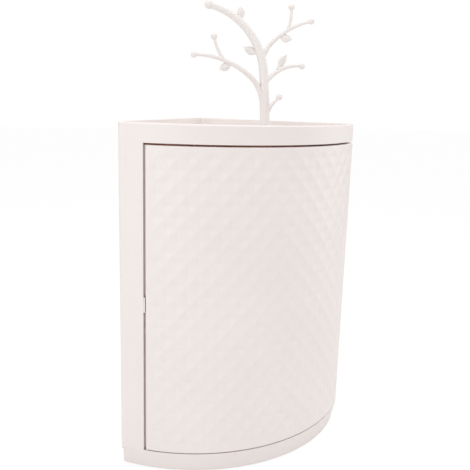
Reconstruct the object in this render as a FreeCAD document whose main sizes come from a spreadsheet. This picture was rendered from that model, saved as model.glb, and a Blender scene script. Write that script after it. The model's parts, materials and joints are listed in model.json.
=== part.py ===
import FreeCAD, Part
import Sketcher
import math
import os
import re

from FreeCAD import Placement, Rotation, Vector

# Rotating countertop organizer: a quarter-round tower whose trays, curved relief door and right wall
# turn out of a fixed case about a post in the back corner. A jewellery tree stands on top.
# Millimetres, +Z up. The front faces -Y, and the origin is on the floor, midway across the footprint.
# Fan-shaped pieces are drawn in a frame of their own: its origin is on the post's axis, its first axis
# runs along the left wall and its second along the right wall.

# Case: heights are above the plinth's lower edge.
case_height = 300.0
foot_stand = 1.2
plinth_height = 17.2
plinth_setback = 3.8
lip_setback = 0.4
lip_height = 5.0
band_height = 15.7
arc_radius = 152.0
corner_radius = 8.0
shell_wall = 2.5
front_corner_round = 3.5
rim_bevel = 1.0
strip_width = 23.0
ceiling_thickness = 2.2
top_recess = 6.7
top_cover_thickness = 2.0
deck_thickness = 2.5
tongue_length = 22.0
tongue_depth = 8.0
tongue_thickness = 1.3

# Base: cover, ballast and feet.
cover_thickness = 2.0
cover_rise = 0.5
ballast_thickness = 3.5
boss_width = 8.0
cover_hole_radius = 1.5
foot_radius = 8.0
foot_sides = 16
foot_inset = 12.7
back_foot_reach = 24.0

# Post and bushes.
post_radius = 3.0
post_boss_half = 6.5
bush_radius = 7.4
bush_spigot_radius = 4.5
lower_bush_flange = 0.8
upper_bush_flange = 1.3
bush_spigot_length = 2.2
post_tap_radius = 1.7
post_tap_depth = 12.0
post_screw_head_radius = 5.0
post_screw_head_height = 2.6

# Door: the ridges of the relief lie on the case's outer arc.
door_top_gap = 1.6
door_bottom_gap = 0.8
door_side_gap = 2.0
door_thickness = 3.2
relief_depth = 1.0
relief_columns = 13
relief_rows = 14
stile_thickness = 1.5
stile_reach = 12.0
stile_overlap = 14.0
side_panel_thickness = 2.4
ledge_width = 2.0
ledge_height = 2.0
catch_height = 13.0
catch_reach = 1.3
catch_thickness = 1.5

# Trays.
tray_count = 5
tray_pitch = 48.0
tray_floor = 2.0
tray_lip = 13.0
tray_wall = 2.0
divider_wall = 1.6
divider_height = 10.0
hub_radius = 8.0
scoop_radius = 26.0
scoop_depth = 5.0
bracket_width = 6.4
bracket_height = 8.0
bracket_inset = 6.5
peg_width = 2.8

# Stop pin and its slot in the deck.
swing_angle = 90.0
stop_reach = 40.0
stop_pin_radius = 2.0
stop_pin_dip = 2.2
stop_pin_boss_width = 8.0
stop_pin_boss_height = 6.0

# Ring holder in the top tray.
ring_base_height = 2.0
ring_bar_width = 8.0
ring_bar_height = 9.0
ring_bar_bevel = 2.4
ring_slot_width = 1.6
ring_inner_reach = 62.0

# Jewellery tree.
tree_reach = 95.6
tree_bearing = 59.4
tree_turn = -15.0
tree_foot_radius = 11.0
tree_foot_height = 2.2
tree_plug_radius = 6.0
tree_plug_depth = 5.0
leaf_width = 6.8
leaf_thickness = 1.3
bud_radius = 2.8
knob_radius = 4.1
stem_step = 18.0
stem_sides = 8

# Clearances.
seat_gap = 0.2
arc_gap = 0.3
running_gap = 0.06
wall_gap = 1.3
stop_gap = 0.3

driving = [(name, value) for name, value in list(globals().items()) if isinstance(value, (int, float))]

doc = FreeCAD.newDocument("countertop_organizer")
sheet = doc.addObject("Spreadsheet::Sheet", "Sizes")
aliases = set()


def write_cell(alias, content):
    """Put one size in the next row of the sheet, under its own name."""
    row = len(aliases) + 1
    sheet.set("A%d" % row, alias)
    sheet.set("B%d" % row, content)
    sheet.setAlias("B%d" % row, alias)
    aliases.add(alias)


def derive(alias, formula):
    """Work out a size from others in the sheet, and give its value."""
    write_cell(alias, "=" + formula)
    doc.recompute()
    return float(getattr(sheet, alias))


for name, value in driving:
    write_cell(name, str(value))

pivot_y = derive("pivot_y", "(arc_radius - corner_radius) / 2")
deck_top = derive("deck_top", "foot_stand + plinth_height")
rim_top = derive("rim_top", "foot_stand + case_height")
ceiling_bottom = derive("ceiling_bottom", "rim_top - band_height")
ceiling_top = derive("ceiling_top", "ceiling_bottom + ceiling_thickness")
cover_top_face = derive("cover_top_face", "rim_top - top_recess")
plinth_radius = derive("plinth_radius", "arc_radius - plinth_setback")
lip_radius = derive("lip_radius", "arc_radius - lip_setback")
boss_reach = derive("boss_reach", "plinth_radius - shell_wall - 0.3 * boss_width")
wall_inner = derive("wall_inner", "corner_radius - shell_wall")
shell_height = derive("shell_height", "ceiling_bottom - deck_top")
door_bottom = derive("door_bottom", "deck_top + door_bottom_gap")
door_top = derive("door_top", "ceiling_bottom - door_top_gap")
door_height = derive("door_height", "door_top - door_bottom")
door_inner_radius = derive("door_inner_radius", "arc_radius - door_thickness")
first_tier = derive("first_tier", "door_height - (tray_count - 1) * tray_pitch")
panel_inner = derive("panel_inner", "corner_radius - side_panel_thickness")
tray_radius = derive("tray_radius", "door_inner_radius - stile_thickness - arc_gap")
tray_left = derive("tray_left", "wall_inner - wall_gap")
tray_right = derive("tray_right", "panel_inner - seat_gap")
foot_reach = derive("foot_reach", "plinth_radius - shell_wall - foot_inset - foot_radius")
plate_bottom = derive("plate_bottom", "foot_stand + cover_rise")
cover_top = derive("cover_top", "plate_bottom + cover_thickness")
ballast_top = derive("ballast_top", "cover_top + ballast_thickness")
post_bottom = derive("post_bottom", "ballast_top")
post_length = derive("post_length", "ceiling_top - post_bottom")
hub_bore = derive("hub_bore", "post_radius + running_gap")
wall_start = derive("wall_start", "sqrt((hub_radius + arc_gap)^2 - tray_left^2) - 0.4 * arc_gap")
corner_bearing = derive("corner_bearing", "asin(corner_radius / arc_radius) / (1 deg)")
strip_bearing = derive("strip_bearing", "strip_width / arc_radius * 180 / pi - corner_bearing")
door_bearing = derive("door_bearing", "strip_bearing + door_side_gap / arc_radius * 180 / pi")
far_bearing = derive("far_bearing", "90 + corner_bearing")


def bound(expression):
    """The expression with each size's name led by the sheet's name, as another object must write it."""
    return re.sub(r"[a-z_][a-z0-9_]*", lambda word: "Sizes." + word[0] if word[0] in aliases else word[0],
                  expression)


def number(expression):
    """The present value of an expression in the sheet's sizes."""
    value = sheet.evalExpression(expression)
    return float(getattr(value, "Value", value))


def tie(thing, path, expression):
    """Bind one property to the sheet, and set it to the same value at once."""
    thing.setExpression(path, bound(expression))


def place(thing, z="0", bearing="0", reach="0", turn="225"):
    """Stand a piece at a height, in the fans' frame, or at a reach and bearing in that frame."""
    along = "%s + 225" % bearing
    thing.Placement = Placement(Vector(number("(%s) * cos(%s)" % (reach, along)),
                                       number("pivot_y + (%s) * sin(%s)" % (reach, along)), number(z)),
                                Rotation(Vector(0, 0, 1), number(turn)))
    tie(thing, "Placement.Base.x", "(%s) * cos(%s)" % (reach, along))
    tie(thing, "Placement.Base.y", "pivot_y + (%s) * sin(%s)" % (reach, along))
    tie(thing, "Placement.Base.z", z)


def new_body(label, z="0"):
    """A body in the fans' frame, with its lower face at the height z."""
    body = doc.addObject("PartDesign::Body", label)
    body.Label = label
    place(body, z)
    return body


class Outline:
    """A sketch on one of a body's origin planes, with its dimensions tied to the sheet."""

    def __init__(self, body, name, lift="0", turn=None, plane="XY_Plane"):
        self.body = body
        self.sketch = body.newObject("Sketcher::SketchObject", name)
        origin = [f for f in body.Origin.OriginFeatures if f.Role == plane][0]
        self.sketch.AttachmentSupport = [(origin, "")]
        self.sketch.MapMode = "FlatFace"
        tie(self.sketch, "AttachmentOffset.Base.z", lift)
        if turn:
            self.sketch.AttachmentOffset = Placement(Vector(0, 0, number(lift)),
                                                     Rotation(Vector(0, 0, 1), number(turn)))
            tie(self.sketch, "AttachmentOffset.Rotation.Angle", turn)

    def rule(self, kind, *args):
        """Add a constraint; a last argument that is text is an expression, which the constraint follows."""
        if not isinstance(args[-1], str):
            return self.sketch.addConstraint(Sketcher.Constraint(kind, *args))
        value = number(args[-1])
        if kind == "Angle":
            value = math.radians(value)
        index = self.sketch.addConstraint(Sketcher.Constraint(kind, *(args[:-1] + (value,))))
        tie(self.sketch, "Constraints[%d]" % index, args[-1])
        return index

    def add(self, geometry):
        return self.sketch.addGeometry(geometry, False)

    def arc(self, radius, start, end, centred=True):
        """An arc about the sketch's origin, from one angle to another, in degrees."""
        circle = Part.Circle(Vector(0, 0, 0), Vector(0, 0, 1), number(radius))
        index = self.add(Part.ArcOfCircle(circle, math.radians(start), math.radians(end)))
        self.rule("Coincident", index, 3, -1, 1)
        self.rule("Radius", index, radius)
        return index

    def line(self, start, end):
        return self.add(Part.LineSegment(Vector(start[0], start[1], 0), Vector(end[0], end[1], 0)))

    def circle(self, radius, x="0", y="0"):
        """A circle at a place that is tied to the sheet."""
        index = self.add(Part.Circle(Vector(number(x), number(y), 0), Vector(0, 0, 1), number(radius)))
        self.rule("Radius", index, radius)
        if x == "0" and y == "0":
            self.rule("Coincident", index, 3, -1, 1)
        else:
            self.rule("DistanceX", -1, 1, index, 3, x)
            self.rule("DistanceY", -1, 1, index, 3, y)
        return index

    def box(self, left, low, right, high):
        """A rectangle whose sides lie at four distances from the sketch's axes."""
        x0, y0, x1, y1 = number(left), number(low), number(right), number(high)
        sides = [self.line(a, b) for a, b in (((x0, y0), (x1, y0)), ((x1, y0), (x1, y1)),
                                              ((x1, y1), (x0, y1)), ((x0, y1), (x0, y0)))]
        for k, side in enumerate(sides):
            self.rule("Coincident", side, 2, sides[(k + 1) % 4], 1)
            self.rule("Horizontal" if k % 2 == 0 else "Vertical", side)
        self.rule("DistanceX", -1, 1, sides[0], 1, left)
        self.rule("DistanceY", -1, 1, sides[0], 1, low)
        self.rule("DistanceX", -1, 1, sides[1], 2, right)
        self.rule("DistanceY", -1, 1, sides[1], 2, high)

    def fan(self, reach, left, right, back=None):
        """A closed fan: two straight sides at right angles, and an arc about the post's axis.

        left and right are the sides' distances outside the axis, and back rounds the corner about it.
        """
        radius, low, side = number(reach), number(left), number(right)
        far_left = (math.sqrt(radius ** 2 - low ** 2), -low)
        far_right = (-side, math.sqrt(radius ** 2 - side ** 2))
        front = self.arc(reach, math.degrees(math.atan2(far_left[1], far_left[0])),
                         math.degrees(math.atan2(far_right[1], far_right[0])))
        foot = (0, -low) if back else (-side, -low)
        head = (-side, 0) if back else (-side, -low)
        left_side = self.line(foot, far_left)
        right_side = self.line(far_right, head)
        self.rule("Coincident", left_side, 2, front, 1)
        self.rule("Coincident", right_side, 1, front, 2)
        self.rule("Horizontal", left_side)
        self.rule("Vertical", right_side)
        if back:
            corner = self.arc(back, 180, 270)
            self.rule("Coincident", corner, 2, left_side, 1)
            self.rule("Coincident", corner, 1, right_side, 2)
            self.rule("PointOnObject", left_side, 1, -2)
            self.rule("PointOnObject", right_side, 2, -1)
        else:
            self.rule("Coincident", left_side, 1, right_side, 2)
            self.rule("DistanceY", left_side, 1, -1, 1, left)
            self.rule("DistanceX", right_side, 2, -1, 1, right)

    def ring_part(self, inner, outer, start, end):
        """A closed band between two arcs about the post's axis, from one bearing to another."""
        a, b = number(start), number(end)
        near = self.arc(inner, a, b)
        far = self.arc(outer, a, b)
        for bearing, side in ((a, 1), (b, 2)):
            ray = (math.cos(math.radians(bearing)), math.sin(math.radians(bearing)))
            edge = self.line([number(inner) * c for c in ray], [number(outer) * c for c in ray])
            self.rule("Coincident", edge, 1, near, side)
            self.rule("Coincident", edge, 2, far, side)
            self.rule("PointOnObject", -1, 1, edge)
            self.rule("Angle", edge, start if side == 1 else end)


def pad(outline, height, down=False):
    """Raise an outline into a solid."""
    feature = outline.body.newObject("PartDesign::Pad", outline.sketch.Name + "_pad")
    feature.Profile = outline.sketch
    feature.Length = number(height)
    tie(feature, "Length", height)
    feature.Reversed = down
    outline.sketch.Visibility = False
    doc.recompute()
    return feature


def pocket(outline, depth, up=False, through=False):
    """Sink an outline into the solid, and make sure that it took material away."""
    before = outline.body.Shape.Volume
    feature = outline.body.newObject("PartDesign::Pocket", outline.sketch.Name + "_pocket")
    feature.Profile = outline.sketch
    if through:
        feature.Type = 1
        feature.Midplane = True
    else:
        feature.Length = number(depth)
        tie(feature, "Length", depth)
        feature.Reversed = up
    doc.recompute()
    if not outline.body.Shape.Volume < before:
        raise ValueError(outline.sketch.Name + " took nothing away")
    return feature


def soften(body, radius, test, kind="Fillet"):
    """Round or bevel the edges that pass a test on their two end points."""
    chosen = []
    for index, edge in enumerate(body.Shape.Edges):
        ends = [vertex.Point for vertex in edge.Vertexes]
        if len(ends) == 2 and test(ends[0], ends[1], edge):
            chosen.append("Edge%d" % (index + 1))
    if not chosen:
        raise ValueError("no edge to round on " + body.Label)
    base = body.Tip
    feature = body.newObject("PartDesign::" + kind, body.Name + "_" + kind.lower())
    feature.Base = (base, chosen)
    path = "Radius" if kind == "Fillet" else "Size"
    setattr(feature, path, number(radius))
    tie(feature, path, radius)
    doc.recompute()
    return feature


def upright(a, b):
    return abs(a.x - b.x) < 1e-4 and abs(a.y - b.y) < 1e-4


def in_fan_frame(body, point):
    """A point of a placed body, back in the frame that it was drawn in."""
    return body.Placement.inverse().multVec(point)


def round_front_corners(body, reach, left, right, radius):
    """Round the upright edges where the straight sides meet the arc."""
    low, side = number(left), number(right)
    span = number(reach)

    def at_corner(a, b, edge):
        if not upright(a, b):
            return False
        p = in_fan_frame(body, a)
        on_left = abs(p.y + low) < 1e-3 and abs(math.hypot(p.x, p.y) - span) < 1e-3
        on_right = abs(p.x + side) < 1e-3 and abs(math.hypot(p.x, p.y) - span) < 1e-3
        return on_left or on_right

    return soften(body, radius, at_corner)


def make_case_shell():
    """The fixed moulding: left wall, front strip, ceiling, band, tongues and the door's closing nib."""
    body = new_body("case_shell", "deck_top")
    wall = Outline(body, "wall_outline")
    outer = number("arc_radius")
    low, inner_low = number("corner_radius"), number("wall_inner")
    inner = outer - number("shell_wall")
    start = number("wall_start")
    left_end = math.degrees(math.asin(-low / outer))
    inner_end = math.degrees(math.asin(-inner_low / inner))
    strip_end = number("strip_bearing")
    ray = (math.cos(math.radians(strip_end)), math.sin(math.radians(strip_end)))
    outer_arc = wall.arc("arc_radius", left_end, strip_end)
    inner_arc = wall.arc("arc_radius - shell_wall", inner_end, strip_end)
    outer_side = wall.line((start, -low), (math.sqrt(outer ** 2 - low ** 2), -low))
    inner_side = wall.line((start, -inner_low), (math.sqrt(inner ** 2 - inner_low ** 2), -inner_low))
    back_edge = wall.line((start, -low), (start, -inner_low))
    strip_edge = wall.line([inner * c for c in ray], [outer * c for c in ray])
    for first, point, second, other in ((outer_side, 2, outer_arc, 1), (inner_side, 2, inner_arc, 1),
                                        (back_edge, 1, outer_side, 1), (back_edge, 2, inner_side, 1),
                                        (strip_edge, 1, inner_arc, 2), (strip_edge, 2, outer_arc, 2)):
        wall.rule("Coincident", first, point, second, other)
    wall.rule("Horizontal", outer_side)
    wall.rule("Horizontal", inner_side)
    wall.rule("Vertical", back_edge)
    wall.rule("PointOnObject", -1, 1, strip_edge)
    wall.rule("DistanceY", outer_side, 1, -1, 1, "corner_radius")
    wall.rule("DistanceY", inner_side, 1, -1, 1, "wall_inner")
    wall.rule("DistanceX", -1, 1, back_edge, 1, "wall_start")
    wall.rule("DistanceY", -1, 1, strip_edge, 2, "arc_radius * sin(strip_bearing)")
    pad(wall, "shell_height")
    band = Outline(body, "band_outline", "shell_height")
    band.fan("arc_radius", "corner_radius", "corner_radius", "corner_radius")
    pad(band, "band_height")
    dish = Outline(body, "dish_outline", "shell_height + band_height")
    dish.fan("arc_radius - shell_wall", "wall_inner", "wall_inner", "wall_inner")
    pocket(dish, "band_height - ceiling_thickness")
    round_front_corners(body, "arc_radius", "corner_radius", "corner_radius", "front_corner_round")
    rim = number("rim_top")
    inner_back = number("wall_inner")

    def outer_rim(a, b, edge):
        middle = in_fan_frame(body, edge.CenterOfMass)
        reach = max(math.hypot(in_fan_frame(body, p).x, in_fan_frame(body, p).y) for p in (a, b))
        level = abs(a.z - rim) < 1e-3 and abs(b.z - rim) < 1e-3
        outside = -middle.x > inner_back + 1e-3 or -middle.y > inner_back + 1e-3
        return level and (outside or reach > number("arc_radius - shell_wall") + 1e-3)

    soften(body, "rim_bevel", outer_rim, "Chamfer")
    bush_hole = Outline(body, "bush_hole", "shell_height + ceiling_thickness")
    bush_hole.circle("bush_spigot_radius")
    pocket(bush_hole, "ceiling_thickness")
    tongues = Outline(body, "tongues")
    for share in ("0.12", "0.47", "0.8"):
        tongues.box("arc_radius * %s" % share, "-wall_inner - tongue_thickness",
                    "arc_radius * %s + tongue_length" % share, "-wall_inner")
    pad(tongues, "tongue_depth", down=True)
    nib = Outline(body, "closing_nib", "door_bottom + (door_height - catch_height) / 2 - deck_top")
    mid_wall = "arc_radius - shell_wall / 2"
    nib.ring_part("%s - catch_thickness / 2" % mid_wall, "%s + catch_thickness / 2" % mid_wall,
                  "strip_bearing - 0.1", "strip_bearing + catch_reach / arc_radius * 180 / pi")
    pad(nib, "catch_height")
    return body


def cover_screws():
    """The bearings of the bottom cover's screws."""
    return ("6", "45", "84")


def screw_holes(body, name, z, radius):
    """Circles where the bottom cover's screws stand."""
    holes = Outline(body, name, z)
    for bearing in cover_screws():
        holes.circle(radius, "boss_reach * cos(%s)" % bearing, "boss_reach * sin(%s)" % bearing)
    return holes


def foot_places():
    """Where the four feet stand: one behind, near the post, and three along the front."""
    places = [("back", "back_foot_reach * cos(45)", "back_foot_reach * sin(45)")]
    for name, bearing in (("left", 12), ("front", 45), ("right", 78)):
        places.append((name, "foot_reach * cos(%d)" % bearing, "foot_reach * sin(%d)" % bearing))
    return places


def make_base_housing():
    """The plinth: a deck with a lip on a skirt, and bosses, the post's socket and the stop pin's slot."""
    body = new_body("base_housing", "foot_stand")
    outside = Outline(body, "plinth_outline")
    outside.fan("plinth_radius", "corner_radius", "corner_radius", "corner_radius")
    pad(outside, "plinth_height")
    lip = Outline(body, "lip_outline", "plinth_height - lip_height")
    lip.fan("lip_radius", "corner_radius", "corner_radius", "corner_radius")
    pad(lip, "lip_height")
    round_front_corners(body, "plinth_radius", "corner_radius", "corner_radius", "front_corner_round")
    round_front_corners(body, "lip_radius", "corner_radius", "corner_radius", "front_corner_round")
    bevel_lip(body)
    inside = Outline(body, "plinth_inside")
    inside.fan("plinth_radius - shell_wall", "wall_inner", "wall_inner", "wall_inner")
    pocket(inside, "plinth_height - deck_thickness", up=True)
    boss_start = "cover_top - foot_stand"
    for bearing in cover_screws():
        boss = Outline(body, "screw_boss_" + bearing, boss_start, bearing)
        boss.box("boss_reach - boss_width / 2", "-boss_width / 2", "plinth_radius - shell_wall / 2",
                 "boss_width / 2")
        pad(boss, "plinth_height - (%s)" % boss_start)
    socket = Outline(body, "post_socket", boss_start)
    socket.box("-post_boss_half", "-post_boss_half", "post_boss_half", "post_boss_half")
    pad(socket, "plinth_height - (%s)" % boss_start)
    bore = Outline(body, "post_bore", "plinth_height")
    bore.circle("post_radius")
    pocket(bore, "deck_top - post_bottom")
    bush_seat = Outline(body, "bush_seat", "plinth_height")
    bush_seat.circle("bush_spigot_radius")
    pocket(bush_seat, "bush_spigot_length")
    pilots = screw_holes(body, "screw_pilots", boss_start, "cover_hole_radius")
    pocket(pilots, "plinth_height - deck_thickness - (%s)" % boss_start, up=True)
    slots = Outline(body, "tongue_slots", "plinth_height")
    for share in ("0.12", "0.47", "0.8"):
        slots.box("arc_radius * %s - seat_gap" % share, "-wall_inner - tongue_thickness - seat_gap / 2",
                  "arc_radius * %s + tongue_length + seat_gap" % share, "-wall_inner + 0.4 * shell_wall")
    pocket(slots, "tongue_depth + seat_gap")
    track = Outline(body, "stop_slot", "plinth_height")
    half = "stop_pin_radius + stop_gap"
    past_end = "(%s) / stop_reach * 180 / pi" % half
    track.ring_part("stop_reach - (%s)" % half, "stop_reach + (%s)" % half, "0 - %s" % past_end,
                    "swing_angle + %s" % past_end)
    pocket(track, "deck_thickness")
    return body


def bevel_lip(body):
    """Cut the lip's lower edge back to the plinth's wall, at 45 degrees round the post's axis."""
    low, foot = number("plinth_height - lip_height"), number("plinth_radius")
    size = number("arc_radius - plinth_radius")
    profile = Outline(body, "lip_bevel", plane="XZ_Plane")
    below = 1.0
    corners = ((foot - below, low - below), (foot + size, low - below), (foot + size, low + size))
    sides = [profile.line(corners[k], corners[(k + 1) % 3]) for k in range(3)]
    for k in range(3):
        profile.rule("Coincident", sides[k], 2, sides[(k + 1) % 3], 1)
    profile.rule("Horizontal", sides[0])
    profile.rule("Vertical", sides[1])
    profile.rule("DistanceX", -1, 1, sides[0], 1, "plinth_radius - %g" % below)
    profile.rule("DistanceY", -1, 1, sides[0], 1, "plinth_height - lip_height - %g" % below)
    profile.rule("DistanceX", -1, 1, sides[1], 2, "arc_radius")
    profile.rule("DistanceY", -1, 1, sides[1], 2,
                 "plinth_height - lip_height + arc_radius - plinth_radius")
    groove = body.newObject("PartDesign::Groove", "lip_bevel_groove")
    groove.Profile = profile.sketch
    groove.ReferenceAxis = (profile.sketch, ["V_Axis"])
    groove.Angle = 360.0
    doc.recompute()
    return groove


def make_bottom_cover():
    """The plate that closes the plinth, with a hole for each screw."""
    body = new_body("bottom_cover", "plate_bottom")
    plate = Outline(body, "cover_outline")
    plate.fan("plinth_radius - shell_wall - seat_gap", "wall_inner - seat_gap", "wall_inner - seat_gap",
              "wall_inner - seat_gap")
    pad(plate, "cover_thickness")
    holes = screw_holes(body, "cover_holes", "cover_thickness", "cover_hole_radius + seat_gap")
    pocket(holes, "cover_thickness")
    return body


def make_ballast_plate():
    """The steel plate that lies on the bottom cover, inside the bosses and round the post's socket."""
    body = new_body("ballast_plate", "cover_top")
    plate = Outline(body, "ballast_outline")
    plate.fan("boss_reach - boss_width / 2 - 2 * seat_gap", "wall_inner - 2 * seat_gap",
              "wall_inner - 2 * seat_gap", "wall_inner - 2 * seat_gap")
    pad(plate, "ballast_thickness")
    hole = Outline(body, "ballast_hole", "ballast_thickness")
    gap = "(post_boss_half + 2 * seat_gap)"
    hole.box("-" + gap, "-" + gap, gap, gap)
    pocket(hole, "ballast_thickness")
    return body


def primitive(kind, label, **bindings):
    """A Part primitive whose sizes are tied to the sheet."""
    thing = doc.addObject("Part::" + kind, label)
    thing.Label = label
    for path, expression in bindings.items():
        setattr(thing, path, number(expression))
        tie(thing, path, expression)
    return thing


def lift(thing, z, x="0", y="0"):
    """Move a primitive along its own frame's axes, tied to the sheet."""
    thing.Placement = Placement(Vector(number(x), number(y), number(z)), Rotation())
    for axis, expression in (("x", x), ("y", y), ("z", z)):
        tie(thing, "Placement.Base." + axis, expression)
    return thing


def combine(kind, label, parts):
    """A boolean of two or more primitives: Cut takes the second from the first."""
    thing = doc.addObject("Part::" + kind, label)
    thing.Label = label
    if kind == "Cut":
        thing.Base, thing.Tool = parts
    elif kind == "Compound":
        thing.Links = parts
    else:
        thing.Shapes = parts
    return thing


def make_feet():
    """Four rubber pads under the bottom cover, as one group."""
    discs = []
    for name, x, y in foot_places():
        disc = primitive("Prism", "foot_" + name, Circumradius="foot_radius", Height="plate_bottom")
        disc.Polygon = int(number("foot_sides"))
        tie(disc, "Polygon", "foot_sides")
        discs.append(lift(disc, "0", x, y))
    group = combine("Compound", "feet", discs)
    place(group)
    return group


def make_post():
    """The steel post, tapped at its top end."""
    rod = primitive("Cylinder", "post_rod", Radius="post_radius", Height="post_length")
    tap = primitive("Cylinder", "post_tap", Radius="post_tap_radius", Height="post_tap_depth")
    lift(tap, "post_length - post_tap_depth")
    post = combine("Cut", "pivot_post", [rod, tap])
    place(post, "post_bottom")
    return post


def flanged_bush(name, z, flange, spigot_below):
    """A bush with its flange's lower face at the height z, and a spigot below or above the flange."""
    disc = primitive("Cylinder", name + "_flange", Radius="bush_radius", Height=flange)
    spigot = primitive("Cylinder", name + "_spigot", Radius="bush_spigot_radius",
                       Height="%s + bush_spigot_length" % flange)
    lift(disc, z)
    lift(spigot, "%s - bush_spigot_length" % z if spigot_below else z)
    solid = combine("MultiFuse", name + "_blank", [disc, spigot])
    bore = primitive("Cylinder", name + "_bore", Radius="hub_bore", Height="post_length")
    lift(bore, "post_bottom")
    return combine("Cut", name, [solid, bore])


def make_bushes():
    """The two flanged bushes: the sleeves turn between their flanges, and their spigots sit in the case."""
    lower = flanged_bush("lower_bush", "deck_top", "lower_bush_flange", True)
    upper = flanged_bush("upper_bush", "ceiling_bottom - upper_bush_flange", "upper_bush_flange", False)
    group = combine("Compound", "post_bushes", [lower, upper])
    place(group)
    return group


def make_post_screw():
    """The hexagon screw that holds the post's top end to the ceiling."""
    head = primitive("Prism", "post_screw_head", Circumradius="post_screw_head_radius",
                     Height="post_screw_head_height")
    shank = primitive("Cylinder", "post_screw_shank", Radius="post_tap_radius",
                      Height="post_tap_depth - 1")
    lift(shank, "1 - post_tap_depth")
    screw = combine("MultiFuse", "post_screw", [head, shank])
    place(screw, "ceiling_top")
    return screw


def make_top_cover():
    """The dish on top: a plate on a skirt that stands on the ceiling, with the tree's socket."""
    body = new_body("top_cover", "ceiling_top")
    outside = Outline(body, "top_outline")
    outside.fan("arc_radius - shell_wall - seat_gap", "wall_inner - seat_gap", "wall_inner - seat_gap",
                "wall_inner - seat_gap")
    pad(outside, "cover_top_face - ceiling_top")
    inside = Outline(body, "top_inside")
    inside.fan("arc_radius - 2 * shell_wall - seat_gap", "corner_radius - 2 * shell_wall - seat_gap",
               "corner_radius - 2 * shell_wall - seat_gap")
    pocket(inside, "cover_top_face - ceiling_top - top_cover_thickness", up=True)
    relief = Outline(body, "screw_head_relief")
    relief.circle("post_screw_head_radius + 2 * seat_gap")
    pocket(relief, "cover_top_face - ceiling_top - top_cover_thickness", up=True)
    tree_x, tree_y = "tree_reach * cos(tree_bearing)", "tree_reach * sin(tree_bearing)"
    boss = Outline(body, "tree_boss")
    boss.circle("tree_plug_radius + shell_wall", tree_x, tree_y)
    pad(boss, "cover_top_face - ceiling_top")
    socket = Outline(body, "tree_socket", "cover_top_face - ceiling_top")
    socket.circle("tree_plug_radius + seat_gap", tree_x, tree_y)
    pocket(socket, "cover_top_face - ceiling_top")
    return body


def make_door_panel():
    """The curved panel with its relief of sunken diamonds, a stile behind the strip, and brackets.

    The outer face is a lattice: each column and row of diamonds has two steps, and where the steps'
    numbers add up to an odd number the point is the bottom of a pit. All other points are flush.
    """
    steps_round = 2 * int(number("relief_columns"))
    steps_up = 2 * int(number("relief_rows"))
    start, end = number("door_bearing"), number("far_bearing")
    outer, back = number("arc_radius"), number("door_inner_radius")
    height, depth = number("door_height"), number("relief_depth")

    def arc_point(reach, column, row):
        bearing = math.radians(start + (end - start) * column / steps_round)
        return Vector(reach * math.cos(bearing), reach * math.sin(bearing), height * row / steps_up)

    def lattice_point(column, row):
        inside = 0 < column < steps_round and 0 < row < steps_up
        return arc_point(outer - depth if inside and (column + row) % 2 else outer, column, row)

    def back_point(column, row):
        return arc_point(back, column, row)

    faces = []
    for column in range(steps_round):
        for row in range(steps_up):
            a, b = lattice_point(column, row), lattice_point(column + 1, row)
            c, d = lattice_point(column + 1, row + 1), lattice_point(column, row + 1)
            if (column + row) % 2:
                faces += [face(a, b, d), face(b, c, d)]
            else:
                faces += [face(a, b, c), face(a, c, d)]
        faces.append(face(back_point(column, 0), back_point(column + 1, 0),
                          back_point(column + 1, steps_up), back_point(column, steps_up)))
    for row in (0, steps_up):
        rim = [lattice_point(column, row) for column in range(steps_round + 1)]
        rim += [back_point(column, row) for column in range(steps_round, -1, -1)]
        faces.append(face(*rim))
    for column in (0, steps_round):
        rim = [lattice_point(column, row) for row in range(steps_up + 1)]
        rim += [back_point(column, steps_up), back_point(column, 0)]
        faces.append(face(*rim))
    panel = solid_of(faces)
    extras = [door_stile(height)]
    for tier in range(1, int(number("tray_count"))):
        extras += door_brackets(tier_floor(tier) - number("door_bottom"))
    return custom("door_panel", panel.fuse(extras), "door_bottom")


def door_stile(height):
    """The strip that closes the gap between the door and the case's front strip from behind."""
    edge, behind = number("door_bearing"), number("stile_reach / arc_radius * 180 / pi")
    beside = number("stile_overlap / arc_radius * 180 / pi")
    back, bite = number("door_inner_radius"), 0.2 * number("door_thickness")
    near = back - number("stile_thickness")
    inset = 0.1 * behind
    plan = [(near, edge - behind), (near, edge - behind / 3), (near, edge + beside / 3),
            (near, edge + beside), (back + bite, edge + beside), (back + bite, edge + inset),
            (back, edge + inset), (back, edge - behind / 3), (back, edge - behind)]
    corners = [Vector(reach * math.cos(math.radians(bearing)), reach * math.sin(math.radians(bearing)), 0)
               for reach, bearing in plan]
    return face(*corners).extrude(Vector(0, 0, height))


def tier_floor(tier):
    """The height of the underside of a tray's floor."""
    return number(tier_expression(tier))


def door_brackets(top):
    """The brackets inside the door that a tray rests on, each with a peg for the tray's square hole."""
    inner, drop, width = number("door_inner_radius"), number("bracket_height"), number("bracket_width")
    bite, peg = 0.2 * number("door_thickness"), number("peg_width")
    reach = inner - number("bracket_inset")
    made = []
    for bearing in bracket_bearings():
        block = Part.makeBox(inner + bite - reach + width / 2, width, drop,
                             Vector(reach - width / 2, -width / 2, top - drop))
        tip = Part.makeBox(peg, peg, drop / 2 + number("tray_floor - seat_gap"),
                           Vector(reach - peg / 2, -peg / 2, top - drop / 2))
        bracket = block.fuse(tip)
        bracket.rotate(Vector(0, 0, 0), Vector(0, 0, 1), bearing)
        made.append(bracket)
    return made


def bracket_bearings():
    """The bearings of the two brackets under each tray."""
    return (26.0, 68.0)


def custom(label, shape, z, bearing="0", reach="0", turn="225"):
    """A piece whose form is worked out here, standing at its place."""
    thing = doc.addObject("Part::Feature", label)
    thing.Label = label
    thing.Shape = shape
    place(thing, z, bearing, reach, turn)
    return thing


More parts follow.
